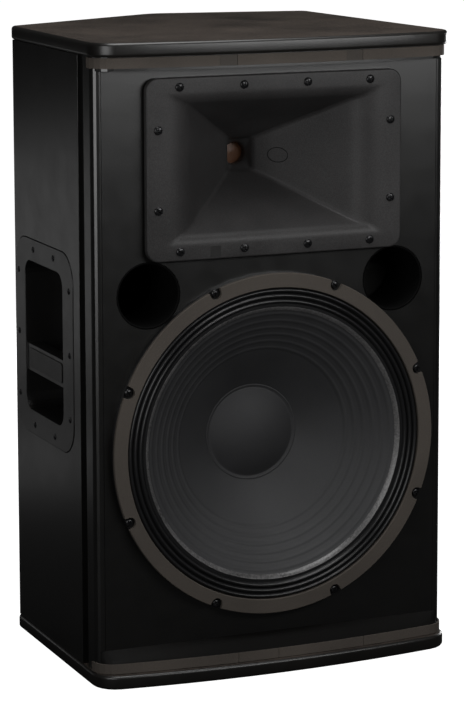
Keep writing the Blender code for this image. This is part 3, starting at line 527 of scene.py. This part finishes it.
def make_dust_cap():
    """The dome over the coil, with a narrow brim that lies on the cone."""
    rim = cone_height(DUST_CAP_RADIUS) + 0.0006
    brim = [(0.0042, 0.0028), (0.0030, 0.0030), (0.0004, 0.0012)]
    dome = [(DUST_CAP_RADIUS + out, rim + up) for out, up in brim]
    steps = 24
    for i in range(steps + 1):
        t = 1 - i / steps
        dome.append((DUST_CAP_RADIUS * t, rim + 0.0012 + DUST_CAP_RISE * (1 - t * t)))
    under = [(0.0, rim + DUST_CAP_RISE), (DUST_CAP_RADIUS * 0.5, rim + 0.0108),
             (DUST_CAP_RADIUS, rim + 0.0004), (DUST_CAP_RADIUS + 0.0036, rim + 0.0022)]
    piece = add_piece("domed_dust_cap", turned_mesh(dome + under, ROUND, closed=False),
                      CAP_PAPER.material, 40, "woofer_moving",
                      facing_out(WOOFER.x, WOOFER.z))
    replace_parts(piece, "woofer_dust_cap")


def make_glue_bead():
    """The bead of glue round the cone's edge, just inside the surround's lip."""
    foot, crest, rise = CONE_OUTER - 0.0056, CONE_OUTER - 0.0012, 0.0017
    section = []
    for i in range(9):
        t = i / 8
        radius = foot + (crest - foot) * t
        section.append((radius, cone_height(radius) + 0.0001 + rise * sin(pi / 2 * t)))
    section += [(crest + 0.0005, cone_height(crest) + 0.0008),
                (crest, cone_height(crest) - 0.0004), (foot, cone_height(foot) - 0.0004)]
    add_piece("glue_bead", turned_mesh(section, ROUND, closed=True), GLUE.material, 60,
              "woofer_moving", facing_out(WOOFER.x, WOOFER.z))


def make_surround():
    """Three half-rolls of cloth between the frame and the cone's edge, then a flat lip."""
    outer, inner, rolls = 0.1769, 0.1548, 3
    count, rolled = 96, 0.84
    base, fall, rise, half_cloth = 0.0057, 0.0006, 0.0042, 0.0003
    sheet = []
    for i in range(count + 1):
        t = i / count
        span = min(1.0, t / rolled)
        height = base - fall * span + rise * abs(sin(rolls * pi * span)) ** 0.75
        if t > rolled:
            height = max(base - fall, CONE_FRONT + half_cloth)
        sheet.append((outer + (inner - outer) * t, height))
    front = [(r, z + half_cloth) for r, z in sheet]
    back = [(r, z - half_cloth) for r, z in sheet[::3][::-1]]
    piece = add_piece("rolled_surround", turned_mesh(front + back, ROUND, closed=True),
                      CLOTH.material, 50, None, facing_out(WOOFER.x, WOOFER.z))
    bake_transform(piece)
    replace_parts(piece, "woofer_surround")


def screw_angles():
    return [2 * pi * (i + 0.5) / WOOFER_SCREW_COUNT for i in range(WOOFER_SCREW_COUNT)]


def make_gasket():
    """The foam ring over the woofer's frame, with a notch for each screw."""
    inner, edge, bite = 0.1772, 0.0007, 0.0066
    profile = [(FRAME_RADIUS - edge, GASKET_FRONT), (FRAME_RADIUS, GASKET_FRONT - edge),
               (FRAME_RADIUS, GASKET_BACK), (inner, GASKET_BACK),
               (inner, GASKET_FRONT - edge), (inner + edge, GASKET_FRONT)]
    piece = add_piece("notched_gasket", turned_mesh(profile, ROUND, closed=True), GASKET.material,
                      35, "cabinet", facing_out(WOOFER.x, WOOFER.z))
    far = WOOFER_SCREW_CIRCLE + 0.02
    outline = arc((WOOFER_SCREW_CIRCLE, 0), bite, 90, 270, 16)
    outline += [(far, -bite - 0.003), (far, bite + 0.003)]
    tools = []
    for i, angle in enumerate(screw_angles()):
        place = facing_out(WOOFER.x, WOOFER.z) @ Matrix.Rotation(angle, 4, "Z")
        tools.append(cutter(f"notch_{i}", prism_mesh(outline, 0.003, 0.02), place))
    apply_cuts(piece, tools)
    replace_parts(piece, "woofer_gasket")


def screw_head_mesh(radius, rise):
    """A pan head, its seat at z = 0."""
    steps, skirt = 8, 0.22
    profile = [(0.0, rise)]
    for i in range(1, steps):
        angle = i / steps * pi / 2
        profile.append((radius * sin(angle), rise * (0.25 + 0.75 * cos(angle) ** 0.9)))
    profile += [(radius, rise * skirt), (radius, 0.0), (0.0, 0.0)]
    return turned_mesh(profile, 32)


def add_screw(name, radius, rise, place, turn, node=None):
    """A pan head screw with a cross recess, turned by an angle."""
    piece = add_piece(name, screw_head_mesh(radius, rise), SCREW_STEEL.material, 30, None,
                      place)
    length, width, depth = radius * 1.24, radius * 0.32, rise * 1.3
    tools = []
    for k in range(2):
        bm = bmesh.new()
        bmesh.ops.create_cube(bm, size=1.0)
        bm.transform(Matrix.Translation((0, 0, rise)) @ Matrix.Diagonal(
            (length, width, depth, 1)))
        spin = Matrix.Rotation(turn + k * pi / 2, 4, "Z")
        tools.append(cutter(f"{name}_slot_{k}", bm, place @ spin))
    apply_cuts(piece, tools)
    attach(piece, "cabinet")
    if node:
        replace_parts(piece, node)


def make_woofer_screws():
    for i, angle in enumerate(screw_angles()):
        x = WOOFER.x + WOOFER_SCREW_CIRCLE * cos(angle)
        z = WOOFER.z + WOOFER_SCREW_CIRCLE * sin(angle)
        place = facing_out(x, z, GASKET_BACK)
        add_screw(f"gasket_screw_{i + 1}", 0.0044, 0.0030, place, 0.7 * i,
                  node=f"woofer_screw_{i + 1}")


# ---- horn -------------------------------------------------------------------------------
THROAT_DEPTH = 0.118
THROAT_RADIUS = 0.0127
SLOT_DEPTH = 0.103          # where the flare's straight walls start, behind the flange
SLOT_HALF = (0.015, 0.019)
FLARE_SLOPE = (0.93, 0.55)  # widening and heightening of the flare per unit of depth
MOUTH_HALF = (0.132, 0.084)  # where the mouth's roll meets the flange's face
FLARE_CORNER = 0.0045
FLANGE_CORNER = 0.014
FLANGE_EDGE = 0.0018        # rounding of the flange's rim
HORN_WALL = 0.003
DRIVER_SEAT_RADIUS = 0.044


def wall_reach(depth, base, slope, reach):
    """Half size of the flare: a straight wall that rolls out to the flange's face."""
    wall_angle = atan2(slope, 1.0)
    turn = pi / 2 - wall_angle
    start = (reach - base - slope * SLOT_DEPTH) / (sin(turn) / (1 - cos(turn)) - slope)
    radius = start / (1 - cos(turn))
    if depth >= start:
        return base + slope * max(0.0, SLOT_DEPTH - depth)
    angle = acos(max(-1.0, min(1.0, 1 - depth / radius)))
    return reach - radius * sin(angle)


def horn_size(depth):
    """Half the width and height of the flare at a depth behind the flange's face."""
    return [wall_reach(depth, *sizes) for sizes in zip(SLOT_HALF, FLARE_SLOPE, MOUTH_HALF)]


def horn_ring(half_width, half_height, radius, depth, sides=14):
    """A rounded rectangle with points along its sides too."""
    radius = min(radius, half_width * 0.999, half_height * 0.999)
    corners = ((1, 1, 0), (-1, 1, 90), (-1, -1, 180), (1, -1, 270))
    ring = []
    for n, (sx, sy, start) in enumerate(corners):
        centre = (sx * (half_width - radius), sy * (half_height - radius))
        ring += arc(centre, radius, start, start + 90, 8)
        following = corners[(n + 1) % 4]
        after = (following[0] * (half_width - radius), following[1] * (half_height - radius))
        first = ring[-1]
        step_angle = radians(start + 90)
        last = (after[0] + radius * cos(step_angle), after[1] + radius * sin(step_angle))
        for i in range(1, sides):
            t = i / sides
            ring.append((first[0] + (last[0] - first[0]) * t, first[1] + (last[1] - first[1]) * t))
    return [(x, y, HORN_FRONT - depth) for x, y in ring]


def throat_sections(steps=5):
    """The throat, which turns from a circle at the driver into the flare's slot."""
    sections = []
    for i in range(steps):
        t = i / steps
        ease = t * t * (3 - 2 * t)
        width, height = [THROAT_RADIUS + (half - THROAT_RADIUS) * ease for half in SLOT_HALF]
        corner = THROAT_RADIUS + (0.004 - THROAT_RADIUS) * ease
        sections.append((width, height, corner, THROAT_DEPTH - (THROAT_DEPTH - SLOT_DEPTH) * t))
    return sections


def flare_sections():
    """The flare, from its slot to the flange's face, closer together in the mouth's roll."""
    depths = [SLOT_DEPTH * (1 - i / 26) for i in range(20)]
    last = depths[-1]
    depths += [last * (1 - i / 14) ** 2 for i in range(1, 15)]
    return [(*horn_size(depth), FLARE_CORNER, depth) for depth in depths]


def flange_sections():
    """The flange: its face, its rounded rim and its back."""
    width, height = HORN_HALF
    steps = 6
    sections = [(0.1345, 0.0865, 0.006, 0.0)]
    for i in range(steps + 1):
        angle = i / steps * pi / 2
        away = FLANGE_EDGE * (1 - sin(angle))
        sections.append((width - away, height - away, FLANGE_CORNER - away,
                         FLANGE_EDGE * (1 - cos(angle))))
    back = HORN_FRONT - 0.0028
    return sections + [(width, height, FLANGE_CORNER, back),
                       (0.127 + HORN_WALL, 0.081 + HORN_WALL, 0.008, back)]


def outer_sections():
    """The outside of the flare, back to the seat of the driver."""
    sections = []
    for depth in (0.014, 0.030, 0.050, 0.075, 0.100):
        width, height = horn_size(depth)
        sections.append((width + HORN_WALL, height + HORN_WALL, 0.006, depth))
    seat = (DRIVER_SEAT_RADIUS, DRIVER_SEAT_RADIUS, DRIVER_SEAT_RADIUS - 0.0002)
    return sections + [(0.024, 0.024, 0.024, 0.106), (*seat, 0.112), (*seat, THROAT_DEPTH)]


def make_horn():
    sections = throat_sections() + flare_sections() + flange_sections() + outer_sections()
    rings = [horn_ring(*section) for section in sections]
    piece = add_piece("flared_horn", loft_mesh(rings), HORN_PLASTIC.material, 50, "cabinet",
                      facing_out(HORN.x, HORN.z))
    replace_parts(piece, "horn")


def make_horn_mark():
    """The oval line moulded in the right wall of the flare, drawn as a black matte ring just off
    the wall: painted shade for the moulded line.
    """
    depth, half_length, half_height, lift = 0.0795, 0.0130, 0.0088, 0.00022
    steps = 72
    along = Vector((FLARE_SLOPE[0], 0, 1)).normalized()
    up = Vector((0, 1, 0))
    into = along.cross(up).normalized()
    if into.x > 0:
        into = -into
    centre = Vector((horn_size(depth)[0], 0, HORN_FRONT - depth))
    bm = bmesh.new()
    rings = []
    for inwards, raised in ((0.0, 0.0), (0.0002, lift), (0.0009, lift), (0.0011, 0.0)):
        ring = []
        for i in range(steps):
            angle = 2 * pi * i / steps
            place = along * ((half_length - inwards) * cos(angle))
            place += up * ((half_height - inwards) * sin(angle))
            ring.append(bm.verts.new(centre + place + into * raised))
        rings.append(ring)
    for a, b in zip(rings, rings[1:]):
        for i in range(steps):
            j = (i + 1) % steps
            bm.faces.new((a[i], a[j], b[j], b[i]))
    bm.normal_update()
    # Black matte ring standing in for the groove: painted shade.
    add_piece("horn_mark_painted_groove_shade", bm, BLACK_FOAM.material, 60, "cabinet",
              facing_out(HORN.x, HORN.z))


def make_horn_screws():
    """Four screws along the flange's top and bottom, and two down each side."""
    rows = [(x, 0.0901) for x in (0.0381, 0.1142)] + [(0.1395, 0.0439)]
    places = [(sx * x, sz * z) for x, z in rows for sx in (-1, 1) for sz in (-1, 1)]
    for i, (x, z) in enumerate(sorted(places)):
        place = facing_out(HORN.x + x, HORN.z + z, HORN_FRONT)
        add_screw(f"horn_screw_{i + 1}", 0.0048, 0.0024, place, 0.5 + 1.1 * i)


def make_flange_plate():
    """A blank square plate low on the horn's flange, left of the middle."""
    half = 0.0062
    outline = rounded_rectangle((-half, -half), (half, half), 0.0008, 4)
    piece = add_piece("flange_plate", prism_mesh(outline, -0.0002, 0.0003), PLASTIC.material,
                      35, "cabinet", facing_out(-0.0725, HORN.z - 0.0917, HORN_FRONT))
    bevel(piece, 0.0002, 2)


# ---- the rest ----------------------------------------------------------------------------
def plate_frame(node, toward):
    """A frame on a flat plate: its middle, +Y up, +Z out of the wall it is let into."""
    low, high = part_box(node)
    mesh = nodes[node].data
    face = max((f for f in mesh.polygons if f.normal.dot(toward) > 0.7), key=lambda f: f.area)
    out = Vector((face.normal.x, face.normal.y, 0)).normalized()
    up = Vector((0, 0, 1))
    centre = (low + high) / 2
    centre += out * (max(out.dot(v.co) for v in mesh.vertices) - out.dot(centre))
    place = Matrix((up.cross(out), up, out)).transposed().to_4x4()
    place.translation = centre
    return place


def add_plate_screws(name, place, spots, size, sink, turn, turn_step):
    """Screws on a plate; size is a head's radius and rise, sink how far it is let in."""
    for i, (x, z) in enumerate(spots):
        add_screw(f"{name}_{i + 1}", *size, place @ Matrix.Translation((x, z, -sink)),
                  turn + turn_step * i)


def make_handle_screws():
    """Ten screws round each handle's plate: three down each side, two above and below."""
    spots = [(sx * 0.0850, z) for sx in (-1, 1) for z in (-0.0728, 0.0, 0.0722)]
    spots += [(sx * 0.0340, sz * 0.1020) for sx in (-1, 1) for sz in (-1, 1)]
    for side, label in ((-1, "left"), (1, "right")):
        place = plate_frame(f"{label}_handle", Vector((side, 0, 0)))
        add_plate_screws(f"{label}_handle_screw", place, sorted(spots), (0.0036, 0.0013),
                         0.0002, 0.4, 0.9)


def make_input_screws():
    """A screw in each corner of the input plate, on a frame along the plate's diagonal."""
    low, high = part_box("input_plate")
    corners = [v.co for v in nodes["input_plate"].data.vertices]
    left = min(corners, key=lambda p: p.x + 0.001 * p.z)
    right = max(corners, key=lambda p: p.x + 0.001 * p.z)
    along = Vector((left.x - right.x, left.y - right.y, 0)).normalized()
    up = Vector((0, 0, 1))
    out = along.cross(up)
    centre = (low + high) / 2
    place = Matrix((along, up, out)).transposed().to_4x4()
    place.translation = centre + out * max(out.dot(p - centre) for p in corners)
    spots = [(sx * 0.055, sz * 0.045) for sx in (-1, 1) for sz in (-1, 1)]
    add_plate_screws("input_screw", place, spots, (0.0032, 0.0014), 0.0001, 0.3, 1)


def make_ports():
    """The two port tubes, with a rounded lip just behind the baffle's face."""
    wall, lip, sunk = 0.0024, 0.0012, 0.0006
    for name in ("left_port_tube", "right_port_tube"):
        low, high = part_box(name)
        outer = (high.x - low.x) / 2
        inner = outer - wall
        front, back = BAFFLE_Y - low.y, BAFFLE_Y - high.y
        profile = [(outer, front - sunk), (outer, back), (inner, back), (inner, front - lip)]
        profile += [(inner + lip * (1 - cos(a)), front - lip + lip * sin(a))
                    for a in (pi / 8, pi / 4, 3 * pi / 8, pi / 2)]
        place = facing_out((low.x + high.x) / 2, (low.z + high.z) / 2)
        piece = add_piece(name.replace("_tube", "_duct"), turned_mesh(profile, 96, closed=True),
                          TUBE_PLASTIC.material, 35, "cabinet", place)
        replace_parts(piece, name)


# ---- camera and studio ---------------------------------------------------------------------
CAMERA_PLACE = Vector((-1.26057, BAFFLE_Y - 2.84868, 0.96327))
CAMERA_FORWARD = Vector((0.38732, 0.91056, -0.14443))
CAMERA_RIGHT = Vector((0.92007, -0.39174, -0.00235))
CAMERA_LENS = 146.11        # millimetres, on a sensor 36 mm wide
CAMERA_SHIFT = -0.18616
LIGHTS = {                  # place, point aimed at, width, height, watts
    "front_softbox": ((0.44, -1.20, 0.88), (0, -0.17, 0.55), 0.86, 0.38, 5.6),
    "left_softbox": ((-0.95, -1.00, 0.62), (0, -0.17, 0.36), 0.7, 0.7, 4.4),
    "high_softbox": ((-0.25, -0.62, 1.45), (0, -0.17, 0.40), 0.4, 0.4, 1.6),
    "top_softbox": ((0.06, -0.30, 1.9), (0.03, 0, 0.5), 0.9, 0.9, 13),
    "side_softbox": ((-0.85, 1.45, 0.19), (-0.21, 0, 0.35), 0.50, 0.44, 0.26),
    "low_side_softbox": ((-0.50, 0.70, 0.05), (-0.21, 0, 0.08), 0.2, 0.09, 0.014),
    "rear_softbox": ((0.75, 1.90, 0.42), (0, 0.2, 0.35), 0.6, 0.6, 15),
    "right_softbox": ((1.65, 0.95, 0.42), (0.2, 0, 0.35), 0.6, 0.6, 9),
}
SURROUNDINGS = 0.03         # light from all round, apart from what the camera sees


def make_camera():
    data = bpy.data.cameras.new("camera")
    camera = bpy.data.objects.new("camera", data)
    bpy.context.scene.collection.objects.link(camera)
    forward, right = CAMERA_FORWARD.normalized(), CAMERA_RIGHT.normalized()
    up = right.cross(forward).normalized()
    turn = Matrix((right, up, -forward)).transposed().to_4x4()
    camera.matrix_world = Matrix.Translation(CAMERA_PLACE) @ turn
    data.lens = CAMERA_LENS
    data.sensor_width = 36
    data.shift_y = CAMERA_SHIFT
    data.clip_end = 60
    bpy.context.scene.camera = camera


def add_light(name, place, target, width, height, power):
    data = bpy.data.lights.new(name, "AREA")
    data.shape = "RECTANGLE"
    data.size = width
    data.size_y = height
    data.energy = power
    light = bpy.data.objects.new(name, data)
    bpy.context.scene.collection.objects.link(light)
    light.location = place
    aim = Vector(target) - Vector(place)
    light.rotation_euler = aim.to_track_quat("-Z", "Y").to_euler()


def make_floor():
    """A white floor that the camera sees lit, and that gives the object hardly any light."""
    finish = Finish("studio_floor", 0.9, specular=0.1)
    finish.colour(finish.ramp(finish.noise(2, 2), (0.0, (0.30, 0.30, 0.30)),
                              (1.0, (0.34, 0.34, 0.34))))
    finish.shader.inputs["Emission Color"].default_value = (1, 1, 1, 1)
    finish.shader.inputs["Emission Strength"].default_value = 1.05
    dark = finish.node("ShaderNodeBsdfDiffuse")
    dark.inputs["Color"].default_value = (0.04, 0.04, 0.04, 1)
    path = finish.node("ShaderNodeLightPath")
    choose = finish.node("ShaderNodeMixShader")
    surface = finish.tree.nodes["Material Output"].inputs["Surface"]
    finish.link(path.outputs["Is Camera Ray"], choose.inputs["Fac"])
    finish.link(dark.outputs["BSDF"], choose.inputs[1])
    finish.link(finish.shader.outputs["BSDF"], choose.inputs[2])
    finish.link(choose.outputs["Shader"], surface)
    bm = bmesh.new()
    bmesh.ops.create_grid(bm, x_segments=2, y_segments=2, size=14)
    floor = add_piece("studio_floor", bm, finish.material, body=None)


def make_world():
    """White surroundings that only the camera sees at full strength."""
    world = bpy.data.worlds.new("studio")
    bpy.context.scene.world = world
    world.use_nodes = True
    tree = world.node_tree
    background = tree.nodes["Background"]
    path = tree.nodes.new("ShaderNodeLightPath")
    mix = tree.nodes.new("ShaderNodeMix")
    mix.inputs["A"].default_value = SURROUNDINGS
    mix.inputs["B"].default_value = 1.0
    tree.links.new(path.outputs["Is Camera Ray"], mix.inputs["Factor"])
    tree.links.new(mix.outputs["Result"], background.inputs["Strength"])
    background.inputs["Color"].default_value = (1, 1, 1, 1)


def make_studio():
    make_floor()
    make_world()
    for name, settings in LIGHTS.items():
        add_light(name, *settings)
    bpy.context.scene.view_settings.view_transform = "Standard"


def main():
    dress_cad()
    make_caps()
    make_ledge()
    make_cone()
    make_dust_cap()
    make_glue_bead()
    make_surround()
    make_gasket()
    make_woofer_screws()
    make_horn()
    make_horn_mark()
    make_horn_screws()
    make_flange_plate()
    make_ports()
    make_handle_screws()
    make_input_screws()
    make_camera()
    make_studio()


main()
